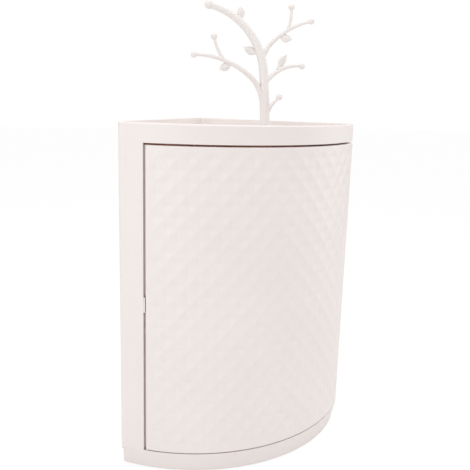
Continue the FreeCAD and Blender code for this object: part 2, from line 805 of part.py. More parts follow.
def make_side_panel():
    """The flat right wall of the turning part, with a ledge under each tray."""
    body = new_body("side_panel", "door_bottom")
    wall = Outline(body, "side_wall")
    wall.box("-corner_radius", "wall_start", "-panel_inner",
             "sqrt((door_inner_radius - seat_gap)^2 - corner_radius^2)")
    pad(wall, "door_height")
    for tier in range(int(number("tray_count"))):
        top = tier_expression(tier)
        ledge = Outline(body, "side_ledge_%d" % (tier + 1), "%s - ledge_height - door_bottom" % top)
        ledge.box("-panel_inner - 0.4 * ledge_width", "2 * hub_radius", "-panel_inner + ledge_width",
                  "0.92 * arc_radius")
        pad(ledge, "ledge_height")
    return body


def tier_expression(tier):
    """The height of the underside of a tray's floor, as an expression."""
    if tier == 0:
        return "door_bottom + ledge_height"
    return "door_bottom + first_tier + %d * tray_pitch" % (tier - 1)


def make_tray(tier):
    """A fan-shaped tray with its lip, dividers, finger scoop and the sleeve that turns on the post."""
    label = "tray_%d" % (tier + 1)
    underside = tier_expression(tier)
    body = new_body(label, underside)
    floor = Outline(body, label + "_floor")
    floor.fan("tray_radius", "tray_left", "tray_right")
    pad(floor, "tray_floor + tray_lip")
    hollow = Outline(body, label + "_hollow", "tray_floor + tray_lip")
    hollow.fan("tray_radius - tray_wall", "tray_left - tray_wall", "tray_right - tray_wall")
    pocket(hollow, "tray_lip")
    scoop = Outline(body, label + "_scoop", plane="XZ_Plane")
    scoop.circle("scoop_radius", "0.62 * tray_radius",
                 "tray_floor + tray_lip - scoop_depth + scoop_radius")
    pocket(scoop, "tray_left + 1", up=True)
    for number_of in range(tier if tier < 4 else 0):
        turn = "90 * %d / %d" % (number_of + 1, tier + 1)
        wall = Outline(body, "%s_divider_%d" % (label, number_of + 1), "tray_floor", turn)
        wall.box("hub_radius", "-divider_wall / 2", "tray_radius - 0.5 * tray_wall", "divider_wall / 2")
        pad(wall, "divider_height")
    if tier == 4:
        wall = Outline(body, label + "_divider", "tray_floor")
        wall.ring_part("ring_inner_reach - divider_wall - seat_gap", "ring_inner_reach - seat_gap", "0", "90")
        pad(wall, "divider_height")
    sleeve_top = "first_tier - ledge_height" if tier == 0 else "tray_pitch"
    sleeve_foot = "-ledge_height" if tier == 0 else "0"
    sleeve = Outline(body, label + "_sleeve", sleeve_foot)
    sleeve.circle("hub_radius")
    pad(sleeve, "%s - (%s)" % (sleeve_top, sleeve_foot))
    if tier == 0:
        boss = Outline(body, "stop_pin_boss", "tray_floor")
        boss.box("stop_reach - stop_pin_boss_width / 2", "-stop_pin_boss_width / 2",
                 "stop_reach + stop_pin_boss_width / 2", "stop_pin_boss_width / 2")
        pad(boss, "stop_pin_boss_height")
        pin_hole = Outline(body, "stop_pin_hole")
        pin_hole.circle("stop_pin_radius", "stop_reach", "0")
        pocket(pin_hole, "tray_floor + stop_pin_boss_height", up=True)
    bore = Outline(body, label + "_bore", sleeve_foot)
    bore.circle("hub_bore")
    pocket(bore, "%s - (%s)" % (sleeve_top, sleeve_foot), up=True)
    if tier > 0:
        reach, half = "door_inner_radius - bracket_inset", "(peg_width / 2 + seat_gap)"
        for bearing in bracket_bearings():
            hole = Outline(body, "%s_peg_hole_%d" % (label, bearing), "tray_floor", "%g" % bearing)
            hole.box("%s - %s" % (reach, half), "-" + half, "%s + %s" % (reach, half), half)
            pocket(hole, "tray_floor")
    return body


def make_stop_pin():
    """The steel pin that hangs from the lowest tray into the deck's slot."""
    pin = primitive("Cylinder", "stop_pin", Radius="stop_pin_radius",
                    Height="door_bottom + ledge_height + tray_floor + stop_pin_boss_height"
                           " - deck_top + stop_pin_dip")
    place(pin, "deck_top - stop_pin_dip", "0", "stop_reach")
    return pin


def make_ring_insert():
    """The ribbed holder for rings: bevelled bars with narrow slots between them."""
    body = new_body("ring_insert", "%s + tray_floor" % tier_expression(4))
    block = Outline(body, "ring_outline")
    block.ring_part("ring_inner_reach", "tray_radius - tray_wall - seat_gap", "3", "87")
    pad(block, "ring_bar_height")
    profile = Outline(body, "ring_slot", plane="XZ_Plane")
    bar, slot, bevel = number("ring_bar_width"), number("ring_slot_width"), number("ring_bar_bevel")
    top, foot = number("ring_bar_height"), number("ring_base_height")
    corners = ((bar - bevel, top), (bar, top - bevel), (bar, foot), (bar + slot, foot),
               (bar + slot, top - bevel), (bar + slot + bevel, top))
    sides = [profile.line(corners[k], corners[(k + 1) % 6]) for k in range(6)]
    for k in range(6):
        profile.rule("Coincident", sides[k], 2, sides[(k + 1) % 6], 1)
    cut = pocket(profile, "0", through=True)
    pattern = body.newObject("PartDesign::LinearPattern", "ring_slots")
    pattern.Originals = [cut]
    pattern.Direction = (profile.sketch, ["H_Axis"])
    count = int(number("(tray_radius - ring_bar_width) / (ring_bar_width + ring_slot_width)"))
    pattern.Length = (count - 1) * (bar + slot)
    pattern.Occurrences = count
    body.Tip = pattern
    doc.recompute()
    return body


def stem(start, lean, arcs, thickness, turn=0.0, bud=0.0):
    """A tapering branch in an upright plane, made of arcs that follow each other, with a bud at its tip.

    start is the place across and up, lean the first direction in degrees from upright, and each arc
    has its radius, the angle it turns by (positive to the right) and the branch's radius at its end.
    """
    across, up, angle, radius = start[0], start[1], lean, thickness
    sides = int(number("stem_sides"))
    rings = []

    def add_ring(ring_radius, ahead=0.0):
        slope = math.radians(angle)
        tangent = Vector(math.sin(slope), 0, math.cos(slope))
        normal = Vector(math.cos(slope), 0, -math.sin(slope))
        centre = Vector(across, 0, up) + tangent * ahead
        corners = []
        for side in range(sides):
            around = 2 * math.pi * (side + 0.5) / sides
            spoke = Vector(0, 1, 0) * math.cos(around) + normal * math.sin(around)
            corners.append(centre + spoke * ring_radius)
        rings.append(corners)

    add_ring(radius)
    for bend, swing, end_radius in arcs:
        pieces = max(1, int(math.ceil(abs(swing) / number("stem_step"))))
        side = math.copysign(1.0, swing)
        first_radius = radius
        for piece in range(pieces):
            before = math.radians(angle)
            angle += swing / pieces
            after = math.radians(angle)
            across += side * bend * (math.cos(before) - math.cos(after))
            up += side * bend * (math.sin(after) - math.sin(before))
            radius = first_radius + (end_radius - first_radius) * (piece + 1) / pieces
            add_ring(radius)
    if bud:
        for polar in (35, 75, 110, 145):
            swell = math.radians(polar)
            add_ring(bud * math.sin(swell), bud * (0.9 - math.cos(swell)))
    shape = faceted(rings)
    shape.rotate(Vector(0, 0, 0), Vector(0, 0, 1), turn)
    return shape


def face(*points):
    return Part.Face(Part.makePolygon(list(points) + [points[0]]))


def solid_of(faces):
    """The solid inside a closed set of faces."""
    skin = Part.makeShell(faces)
    skin.sewShape()
    solid = Part.makeSolid(skin)
    if solid.Volume < 0:
        solid.reverse()
    return solid


def faceted(rings):
    """A solid with flat facets through rings of corners, closed at both ends."""
    faces = [face(*rings[0]), face(*rings[-1])]
    for lower, upper in zip(rings, rings[1:]):
        for k in range(len(lower)):
            ahead = (k + 1) % len(lower)
            faces += [face(lower[k], lower[ahead], upper[k]), face(lower[ahead], upper[ahead], upper[k])]
    return solid_of(faces)


def leaf(base, angle, length, turn=0.0):
    """A pointed leaf on a short stalk, from its base at an angle from upright."""
    width, thick = number("leaf_width"), number("leaf_thickness")
    half = ((0.0, 0.1), (0.12, 0.1), (0.34, 0.38), (0.55, 0.5), (0.78, 0.36), (1.0, 0.0))
    right = [Vector(width * out, 0, length * along) for along, out in half]
    left = [Vector(-width * out, 0, length * along) for along, out in reversed(half[:-1])]
    blade = face(*(right + left)).extrude(Vector(0, thick, 0))
    blade.translate(Vector(0, -thick / 2, 0))
    blade.rotate(Vector(0, 0, 0), Vector(0, 1, 0), angle)
    blade.translate(Vector(base[0], 0, base[1]))
    blade.rotate(Vector(0, 0, 0), Vector(0, 0, 1), turn)
    return blade


def join(shapes):
    joined = shapes[0].fuse(shapes[1:]).removeSplitter()
    if len(joined.Solids) != 1:
        raise ValueError("a branch or leaf stands clear: %s" % [solid.BoundBox for solid in joined.Solids])
    return joined


def rod(across, radius, sides, low, high):
    """An upright rod with flat sides, between two heights."""
    corners = []
    for side in range(sides):
        around = 2 * math.pi * (side + 0.5) / sides
        corners.append(Vector(across + radius * math.sin(around), radius * math.cos(around), low))
    return face(*corners).extrude(Vector(0, 0, high - low))


def make_tree():
    """The tree: a main stem with the upper branches, a side stem beside it, and the plug that holds both."""
    bud, knob = number("bud_radius"), number("knob_radius")
    plug, collar = number("tree_plug_depth"), number("tree_foot_height")
    sides = int(number("stem_sides"))
    root, side_root = rod(0.4, 4.0, sides, -plug, collar), rod(-2.0, 2.7, sides, -plug, collar)
    main = stem((0.4, collar), -2, ((700, -4, 3.9), (60, -24, 3.6), (61, -46, 2.9)), 4.0, bud=knob)
    upper = stem((-4.6, 61), 14, ((32, 32, 1.9), (66, 30, 1.3)), 2.3, -17, bud)
    upper_twig = stem((16.4, 85.4), 20, ((45, -22, 1.2),), 1.5, -17, bud)
    middle = stem((-1.5, 40.8), 38, ((42.5, 28, 1.7), (42.5, 26, 1.3)), 2.1, 17, bud)
    low_twig = stem((1.2, 13.5), 16, ((30, 32, 1.3),), 1.9, -25, bud)
    leaves = [leaf((-23.4, 92.6), -12, 11.5), leaf((-8.4, 64.5), -65, 14.6),
              leaf((8.4, 79.9), 98, 12.3, -17), leaf((9.6, 52.9), 36, 16.5, 17)]
    main_shape = join([root, main, upper, upper_twig, middle, low_twig] + leaves)
    side = stem((-2.0, collar), 0, ((200, -6, 2.6), (34, -48, 2.2), (80, -20, 1.7), (84, -17, 1.3)),
                2.7, 10, bud)
    side_twig = stem((-38.6, 57.6), -46, ((37, 32, 1.2),), 1.5, 10, bud)
    side_blank = join([side_root, side, side_twig, leaf((-32.1, 55.6), -110, 13.0, 10)])
    side_shape = max(side_blank.cut(main_shape).Solids, key=lambda solid: solid.Volume)
    foot = rod(0.0, number("tree_foot_radius"), 6 * sides, 0.0, collar)
    foot = foot.fuse(rod(0.0, number("tree_plug_radius"), 3 * sides, -plug, 0.0))
    foot = foot.cut(root).cut(side_root)
    turn = "tree_turn"
    custom("tree_main_stem", main_shape, "cover_top_face", "tree_bearing", "tree_reach", turn)
    custom("tree_side_stem", side_shape, "cover_top_face", "tree_bearing", "tree_reach", turn)
    custom("tree_foot", foot, "cover_top_face", "tree_bearing", "tree_reach", turn)


make_case_shell()
make_base_housing()
make_bottom_cover()
make_ballast_plate()
make_feet()
make_post()
make_bushes()
make_post_screw()
make_top_cover()
make_door_panel()
make_side_panel()
for tray_tier in range(int(number("tray_count"))):
    make_tray(tray_tier)
make_stop_pin()
make_ring_insert()
make_tree()
doc.recompute()

kept = ["case_shell", "base_housing", "bottom_cover", "ballast_plate", "feet", "pivot_post", "post_bushes",
        "post_screw", "top_cover", "tree_foot", "tree_main_stem", "tree_side_stem", "door_panel",
        "side_panel", "stop_pin", "ring_insert"]
kept += ["tray_%d" % (tier + 1) for tier in range(int(number("tray_count")))]

for thing in doc.Objects:
    if "Invalid" in thing.State or "Error" in thing.State:
        raise RuntimeError("%s failed: %s" % (thing.Label, thing.State))
os.makedirs("parts", exist_ok=True)
for label in kept:
    shape = doc.getObjectsByLabel(label)[0].Shape
    if shape.isNull() or not shape.isValid() or not shape.Solids:
        raise RuntimeError(label + " has no valid solid")
    shape.exportStep("parts/%s.step" % label)
    print(label, len(shape.Solids), round(shape.Volume / 1000.0, 2))
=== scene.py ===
"""The rotating countertop organizer: satin warm-white moulding, a relief door and a jewellery tree."""
import json
import math

import bmesh
import bpy
from mathutils import Matrix, Vector


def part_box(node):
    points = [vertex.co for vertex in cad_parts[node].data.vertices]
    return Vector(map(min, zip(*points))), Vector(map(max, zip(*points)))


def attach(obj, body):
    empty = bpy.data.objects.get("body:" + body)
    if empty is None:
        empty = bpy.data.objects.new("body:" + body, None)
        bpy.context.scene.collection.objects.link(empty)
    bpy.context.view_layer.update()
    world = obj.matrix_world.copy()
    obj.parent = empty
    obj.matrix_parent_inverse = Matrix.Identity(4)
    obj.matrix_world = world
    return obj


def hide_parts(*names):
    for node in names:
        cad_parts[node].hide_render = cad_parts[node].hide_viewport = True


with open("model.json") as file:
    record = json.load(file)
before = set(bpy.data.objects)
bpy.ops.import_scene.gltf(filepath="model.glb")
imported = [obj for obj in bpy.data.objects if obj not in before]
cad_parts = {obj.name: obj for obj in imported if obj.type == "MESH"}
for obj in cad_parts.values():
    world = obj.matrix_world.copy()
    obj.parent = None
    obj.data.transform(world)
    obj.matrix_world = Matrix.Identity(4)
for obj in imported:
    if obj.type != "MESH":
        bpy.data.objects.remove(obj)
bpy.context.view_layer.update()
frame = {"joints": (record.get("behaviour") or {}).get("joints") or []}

# Places from the frame, in metres, and the bearings of the fans, which start at the left wall.
PIVOT = Vector([joint for joint in frame["joints"] if joint["name"] == "rotor_swing"][0]["pos_m"])
DOOR_LOW, DOOR_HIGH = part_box("door_panel")
BASE_LOW, BASE_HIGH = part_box("base_housing")
COVER_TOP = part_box("top_cover")[1][2]
PLATE_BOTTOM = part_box("bottom_cover")[0][2]
TRAY_NAMES = ["tray_%d" % (tier + 1) for tier in range(5)]
FANS_TURN = math.radians(225)

# The front's radius about the post, and how far joined pieces reach into each other.
ARC_RADIUS = 0.152
WELD = 0.0001


# Materials

def colour(red, green, blue):
    """A linear colour from display values out of 255."""
    def linear(value):
        value /= 255.0
        return value / 12.92 if value <= 0.04045 else ((value + 0.055) / 1.055) ** 2.4
    return (linear(red), linear(green), linear(blue), 1.0)


class Look:
    """A node material around one Principled shader, with short calls for its usual parts."""

    def __init__(self, name, base, roughness, metallic=0.0):
        self.material = bpy.data.materials.new(name)
        self.material.use_nodes = True
        self.nodes = self.material.node_tree.nodes
        self.links = self.material.node_tree.links
        self.shader = self.nodes["Principled BSDF"]
        self.shader.inputs["Base Color"].default_value = base
        self.shader.inputs["Roughness"].default_value = roughness
        self.shader.inputs["Metallic"].default_value = metallic
        self.base = base
        self.place = self.add("ShaderNodeTexCoord").outputs["Object"]
        self.tone = None
        self.height = None

    def add(self, kind, **settings):
        node = self.nodes.new(kind)
        for key, value in settings.items():
            setattr(node, key, value)
        return node

    def noise(self, scale, detail=3.0, rough=0.5, stretch=None):
        node = self.add("ShaderNodeTexNoise")
        node.inputs["Scale"].default_value = scale
        node.inputs["Detail"].default_value = detail
        node.inputs["Roughness"].default_value = rough
        place = self.place
        if stretch:
            mapping = self.add("ShaderNodeMapping")
            mapping.inputs["Scale"].default_value = stretch
            self.links.new(place, mapping.inputs["Vector"])
            place = mapping.outputs["Vector"]
        self.links.new(place, node.inputs["Vector"])
        return node.outputs["Fac"]

    def ranged(self, source, low, high, start=0.3, end=0.7):
        node = self.add("ShaderNodeMapRange")
        node.inputs["From Min"].default_value = start
        node.inputs["From Max"].default_value = end
        node.inputs["To Min"].default_value = low
        node.inputs["To Max"].default_value = high
        self.links.new(source, node.inputs["Value"])
        return node.outputs["Result"]

    def vary(self, source, amount):
        """Let the base colour drift a little darker and lighter with a source."""
        node = self.add("ShaderNodeHueSaturation")
        node.inputs["Color"].default_value = self.base
        self.links.new(self.ranged(source, 1.0 - amount, 1.0 + amount), node.inputs["Value"])
        self.tone = node.outputs["Color"]
        self.links.new(self.tone, self.shader.inputs["Base Color"])

    def paint_gap_shade(self, shade_colour, distance, start=0.02, end=0.30):
        """Run the varied colour to a deeper, warmer one inside narrow gaps: painted shade, found by ambient
        occlusion, standing in for the light lost between mouldings.
        """
        shade = self.add("ShaderNodeAmbientOcclusion", samples=8, only_local=False)
        shade.inputs["Distance"].default_value = distance
        mix = self.add("ShaderNodeMixRGB")
        mix.inputs["Color1"].default_value = shade_colour
        self.links.new(self.ranged(shade.outputs["AO"], 0.0, 1.0, start, end), mix.inputs["Fac"])
        self.links.new(self.tone, mix.inputs["Color2"])
        self.links.new(mix.outputs["Color"], self.shader.inputs["Base Color"])

    def roughen(self, source, low, high):
        self.links.new(self.ranged(source, low, high), self.shader.inputs["Roughness"])

    def bump(self, source, distance, strength=1.0):
        node = self.add("ShaderNodeBump")
        node.inputs["Strength"].default_value = strength
        node.inputs["Distance"].default_value = distance
        self.links.new(source, node.inputs["Height"])
        if self.height:
            self.links.new(self.height, node.inputs["Normal"])
        self.height = node.outputs["Normal"]
        self.links.new(self.height, self.shader.inputs["Normal"])


# Painted shade: the warm brown that narrow gaps darken to, and how far ambient occlusion looks for close
# surfaces.
PAINTED_GAP_SHADE = colour(150, 92, 74)
GAP_SHADE_DISTANCE = 0.004


def moulding(name, base, roughness, grain=0.00002, glow=0.05):
    """Satin injection-moulded plastic: fine spark grain, slow drift in colour and in gloss, and painted warm
    shade inside narrow gaps.
    """
    look = Look(name, base, roughness)
    look.shader.inputs["Specular IOR Level"].default_value = 0.45
    look.shader.inputs["Subsurface Weight"].default_value = glow
    look.shader.inputs["Subsurface Radius"].default_value = (0.9, 0.7, 0.6)
    look.shader.inputs["Subsurface Scale"].default_value = 0.002
    look.vary(look.noise(scale=14.0), amount=0.012)
    # Painted shade: the colour darkens to a warm brown in narrow gaps.
    look.paint_gap_shade(PAINTED_GAP_SHADE, GAP_SHADE_DISTANCE)
    look.roughen(look.noise(scale=55.0, detail=4.0), roughness - 0.04, roughness + 0.05)
    if grain:
        look.bump(look.noise(scale=2600.0, detail=2.0), distance=grain)
    look.bump(look.noise(scale=26.0, detail=2.0), distance=0.00025, strength=0.5)
    return look.material


def metal(name, base, roughness, stretch):
    """Bright steel with drawn or rolled lines."""
    look = Look(name, base, roughness, metallic=1.0)
    lines = look.noise(scale=900.0, rough=0.6, stretch=stretch)
    look.vary(look.noise(scale=40.0), amount=0.05)
    look.roughen(lines, roughness - 0.06, roughness + 0.12)
    look.bump(lines, distance=0.00001)
    return look.material


def rubber(name, base):
    """Soft matt rubber with a fine moulded grain."""
    look = Look(name, base, roughness=0.75)
    look.vary(look.noise(scale=90.0), amount=0.05)
    look.roughen(look.noise(scale=300.0), low=0.66, high=0.82)
    look.bump(look.noise(scale=1500.0, detail=4.0), distance=0.00004)
    return look.material


def flock(name, base):
    """Short pile on foam."""
    look = Look(name, base, roughness=0.95)
    look.shader.inputs["Sheen Weight"].default_value = 0.5
    look.shader.inputs["Sheen Roughness"].default_value = 0.4
    look.vary(look.noise(scale=1700.0, detail=4.0, rough=0.7), amount=0.10)
    look.bump(look.noise(scale=2400.0, rough=0.7), distance=0.00012)
    return look.material


SHELL = moulding("shell_satin", colour(237, 229, 226), 0.40)
DOOR = moulding("door_satin", colour(237, 229, 226), 0.38)
INSIDE = moulding("inner_satin", colour(233, 224, 220), 0.46)
TRAY = moulding("tray_satin", colour(234, 226, 222), 0.44)
TREE = moulding("tree_satin", colour(236, 230, 227), 0.42, grain=0.0, glow=0.0)
NYLON = moulding("bush_nylon", colour(222, 219, 212), 0.5)
STEEL = metal("post_steel", colour(196, 196, 198), 0.28, (1.0, 1.0, 0.02))
PLATE = metal("ballast_steel", colour(164, 165, 168), 0.42, (1.0, 0.05, 1.0))
RUBBER = rubber("foot_rubber", colour(206, 202, 198))
FLOCK = flock("ring_flock", colour(224, 208, 203))

NODE_LOOKS = {"case_shell": SHELL, "base_housing": SHELL, "top_cover": SHELL, "side_panel": SHELL,
              "bottom_cover": INSIDE, "door_panel": DOOR, "ballast_plate": PLATE, "feet": RUBBER,
              "pivot_post": STEEL, "post_bushes": NYLON, "post_screw": STEEL, "stop_pin": STEEL,
              "tree_foot": TREE, "tree_main_stem": TREE, "tree_side_stem": TREE,
              "ring_insert": FLOCK}
NODE_LOOKS.update({tray_name: TRAY for tray_name in TRAY_NAMES})


def dress(piece, material):
    """Give every slot of a piece the same material."""
    if not piece.data.materials:
        piece.data.materials.append(material)
    for slot in piece.material_slots:
        slot.material = material


for node_name, node_look in NODE_LOOKS.items():
    dress(bpy.data.objects[node_name], node_look)


# Mesh helpers

def add_object(name, data):
    """A new object for some data, in the scene."""
    thing = bpy.data.objects.new(name, data)
    bpy.context.scene.collection.objects.link(thing)
    return thing


def new_piece(name, mesh_builder, body, material):
    """Fill a new object by bmesh, and let it ride on a body."""
    mesh = bpy.data.meshes.new(name)
    build = bmesh.new()
    mesh_builder(build)
    bmesh.ops.recalc_face_normals(build, faces=build.faces)
    build.to_mesh(mesh)
    build.free()
    piece = add_object(name, mesh)
    dress(piece, material)
    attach(piece, body)
    return piece


def smooth(piece, angle=None):
    """Shade a piece smooth, apart from the edges that bend by more than an angle in degrees."""
    for polygon in piece.data.polygons:
        polygon.use_smooth = True
    if angle is None:
        return
    sharp = math.cos(math.radians(angle))
    build = bmesh.new()
    build.from_mesh(piece.data)
    for edge in build.edges:
        if len(edge.link_faces) == 2:
            first, second = edge.link_faces
            edge.smooth = first.normal.dot(second.normal) > sharp
    build.to_mesh(piece.data)
    build.free()


def fan_point(radius, bearing, height):
    """A point at a radius and bearing about the post, in the frame that the fans are drawn in."""
    turned = FANS_TURN + bearing
    return Vector((PIVOT.x + radius * math.cos(turned), PIVOT.y + radius * math.sin(turned), height))


def band_between(build, first, second):
    """Faces between two closed rings of the same number of points."""
    for k in range(len(first)):
        ahead = (k + 1) % len(first)
        build.faces.new((first[k], first[ahead], second[ahead], second[k]))


def strip_between(build, first, second):
    """Faces between two open rows of the same number of points."""
    for k in range(len(first) - 1):
        build.faces.new((first[k], first[k + 1], second[k + 1], second[k]))


def prism(build, plan, low, high):
    """Add a closed upright prism over a plan of (radius, bearing) corners."""
    foot = [build.verts.new(fan_point(radius, bearing, low)) for radius, bearing in plan]
    head = [build.verts.new(fan_point(radius, bearing, high)) for radius, bearing in plan]
    build.faces.new(foot)
    build.faces.new(list(reversed(head)))
    band_between(build, foot, head)


# Door: a curved panel with a diamond relief, a strip that closes its left gap, and the trays' brackets.
DOOR_START = math.radians(6.35)
DOOR_END = math.radians(93.02)
DOOR_BACK = 0.1488
DOOR_THINNEST = 0.0004
EDGE_ROUND = 0.0012
EDGE_SHARES = (0.0, 0.04, 0.15, 0.35, 0.65)
RELIEF_DEPTH = 0.0009
RELIEF_COLUMNS, RELIEF_ROWS = 13, 14
RELIEF_SPLIT = 8
RELIEF_BLEND = 0.07
RELIEF_CREST = 0.06
STILE_BACK = 0.0015
STILE_START, STILE_END = DOOR_START - 0.012 / ARC_RADIUS, DOOR_START + 0.014 / ARC_RADIUS
STILE_STEPS = 8
BRACKET_BEARINGS = (math.radians(26), math.radians(68))
BRACKET_HEIGHT, BRACKET_WIDTH, BRACKET_INSET, BRACKET_ROOT = 0.008, 0.0064, 0.0065, 0.0003
PEG_WIDTH, PEG_RISE = 0.0028, 0.0018


def even_distance(value):
    """How far a number is from the nearest even number."""
    rest = value % 2.0
    return min(rest, 2.0 - rest)


def relief_sink(across, up):
    """How deep the relief lies at a place given in half diamonds, with ridges rounded over."""
    first, second = even_distance(across + up), even_distance(across - up)
    share = max(RELIEF_BLEND - abs(first - second), 0.0) / RELIEF_BLEND
    lowest = max(min(first, second) - 0.25 * RELIEF_BLEND * share * share, 0.0)
    rounded = math.sqrt(lowest ** 2 + RELIEF_CREST ** 2) - RELIEF_CREST
    margin = min(across, 2 * RELIEF_COLUMNS - across, up, 2 * RELIEF_ROWS - up)
    return RELIEF_DEPTH * rounded / (1.0 - RELIEF_CREST) * min(margin, 1.0)


def edge_drop(distance):
    """How far a rounded edge falls back at a distance in from the edge."""
    if distance >= EDGE_ROUND:
        return 0.0
    inset = EDGE_ROUND - distance
    return EDGE_ROUND - math.sqrt(max(EDGE_ROUND ** 2 - inset ** 2, 0.0))


def graded(length, steps):
    """Even steps along a length, with extra ones close to both ends for the rounded edges."""
    near = [EDGE_ROUND * share for share in EDGE_SHARES]
    middle = [length * step / steps for step in range(steps + 1)]
    middle = [value for value in middle if EDGE_ROUND < value < length - EDGE_ROUND]
    return near + [EDGE_ROUND] + middle + [length - EDGE_ROUND] + [length - value for value in reversed(near)]


def panel_mesh(build):
    """The curved panel as one closed shell: soft relief outside, smooth inside, rounded edges between."""
    width = ARC_RADIUS * (DOOR_END - DOOR_START)
    height = DOOR_HIGH[2] - DOOR_LOW[2]
    across = graded(width, 2 * RELIEF_COLUMNS * RELIEF_SPLIT)
    upward = graded(height, 2 * RELIEF_ROWS * RELIEF_SPLIT)
    columns = []
    for s in across:
        column = []
        for t in upward:
            sink = relief_sink(s / width * 2 * RELIEF_COLUMNS, t / height * 2 * RELIEF_ROWS)
            sink += edge_drop(min(s, width - s)) + edge_drop(min(t, height - t))
            sink = min(sink, ARC_RADIUS - DOOR_BACK - DOOR_THINNEST)
            place = fan_point(ARC_RADIUS - sink, DOOR_START + s / ARC_RADIUS, DOOR_LOW[2] + t)
            column.append(build.verts.new(place))
        columns.append(column)
    for first, second in zip(columns, columns[1:]):
        strip_between(build, first, second)
    low, high = [], []
    for s in across:
        bearing = DOOR_START + s / ARC_RADIUS
        low.append(build.verts.new(fan_point(DOOR_BACK, bearing, DOOR_LOW[2])))
        high.append(build.verts.new(fan_point(DOOR_BACK, bearing, DOOR_HIGH[2])))
    strip_between(build, low, high)
    strip_between(build, [column[0] for column in columns], low)
    strip_between(build, [column[-1] for column in columns], high)
    build.faces.new([low[0]] + columns[0] + [high[0]])
    build.faces.new([high[-1]] + columns[-1][::-1] + [low[-1]])


def stile_mesh(build):
    """The strip inside the door's left edge, which closes the gap from behind."""
    bearings = [STILE_START + (STILE_END - STILE_START) * k / STILE_STEPS for k in range(STILE_STEPS + 1)]
    plan = [(DOOR_BACK - STILE_BACK, bearing) for bearing in bearings]
    plan += [(DOOR_BACK + WELD if bearing > DOOR_START else DOOR_BACK, bearing)
             for bearing in reversed(bearings)]
    prism(build, plan, DOOR_LOW[2], DOOR_HIGH[2])


def bracket_mesh(build, bearing, top):
    """A bracket under a tray, with the peg that stands in the tray's square hole."""
    reach = DOOR_BACK - BRACKET_INSET
    for half, back, low, high in ((BRACKET_WIDTH / 2, DOOR_BACK + BRACKET_ROOT, top - BRACKET_HEIGHT, top),
                                  (PEG_WIDTH / 2, reach + PEG_WIDTH / 2, top, top + PEG_RISE)):
        corners = ((reach - half, -half), (back, -half), (back, half), (reach - half, half))
        plan = [(math.hypot(radius, side), bearing + math.atan2(side, radius)) for radius, side in corners]
        prism(build, plan, low, high)


def door_mesh(build):
    """The whole door: panel, stile and a pair of brackets for each tray above the lowest."""
    panel_mesh(build)
    stile_mesh(build)
    for tray_name in TRAY_NAMES[1:]:
        for bearing in BRACKET_BEARINGS:
            bracket_mesh(build, bearing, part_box(tray_name)[0][2])


SHARP_ANGLE = 40

door = new_piece("door_relief", door_mesh, "rotor", DOOR)
smooth(door, SHARP_ANGLE)
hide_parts("door_panel")


# Plinth: one soft taper from the lip to the lower edge.
SIDE_OFFSET = 0.0080
LIP_RADIUS, PLINTH_RADIUS = ARC_RADIUS - 0.00032, ARC_RADIUS - 0.00376
PLINTH_CORNER = 0.0035
PLINTH_STEPS = 12
SKIN_DEPTH, SKIN_PROUD, SKIN_LIFT = 0.0009, 0.00003, 0.00002
LIP_ROUND, LIP_RISE, LIP_STEPS = 0.00035, 0.00015, 4
CORNER_STEPS, ARC_STEPS, SIDE_LEAD = 8, 120, 0.004


def fan_plan(radius, side_offset, corner):
    """Corners of a fan outline round its front, as (radius, bearing), from flat side to flat side."""
    centre_side = corner - side_offset
    centre_along = math.sqrt((radius - corner) ** 2 - centre_side ** 2)
    swing = math.atan2(centre_side, centre_along)
    left = [(centre_along - SIDE_LEAD, -side_offset)]
    for k in range(CORNER_STEPS + 1):
        turned = -math.pi / 2 + (swing + math.pi / 2) * k / CORNER_STEPS
        left.append((centre_along + corner * math.cos(turned), centre_side + corner * math.sin(turned)))
    left = [(math.hypot(*point), math.atan2(point[1], point[0])) for point in left]
    sweep = math.pi / 2 - 2 * swing
    arc = [(radius, swing + sweep * k / ARC_STEPS) for k in range(1, ARC_STEPS)]
    right = [(reach, math.pi / 2 - bearing) for reach, bearing in reversed(left)]
    return left + arc + right


def plinth_mesh(build):
    """A closed skin over the plinth's curved front."""
    top, low = BASE_HIGH[2] + LIP_RISE, BASE_LOW[2] + SKIN_LIFT
    levels = []
    for k in range(LIP_STEPS + 1):
        turned = math.pi / 2 * k / LIP_STEPS
        levels.append((LIP_RADIUS - LIP_ROUND * (1 - math.sin(turned)),
                       top - LIP_ROUND * (1 - math.cos(turned))))
    for k in range(1, PLINTH_STEPS + 1):
        share = k / PLINTH_STEPS
        levels.append((LIP_RADIUS + (PLINTH_RADIUS - LIP_RADIUS) * share,
                       top - LIP_ROUND + (low - top + LIP_ROUND) * share))
    plans = []
    for radius, height in levels:
        corner = PLINTH_CORNER + max(radius - PLINTH_RADIUS, 0.0)
        plans.append((height, fan_plan(radius, SIDE_OFFSET + SKIN_PROUD, corner)))
    inner = fan_plan(PLINTH_RADIUS - SKIN_DEPTH, SIDE_OFFSET - SKIN_DEPTH, PLINTH_CORNER)
    plans += [(low, inner), (top, inner)]
    rings = [[build.verts.new(fan_point(reach, bearing, height)) for reach, bearing in plan]
             for height, plan in plans]
    for first, second in zip(rings, rings[1:] + rings[:1]):
        strip_between(build, first, second)
    build.faces.new([ring[0] for ring in rings])
    build.faces.new([ring[-1] for ring in reversed(rings)])


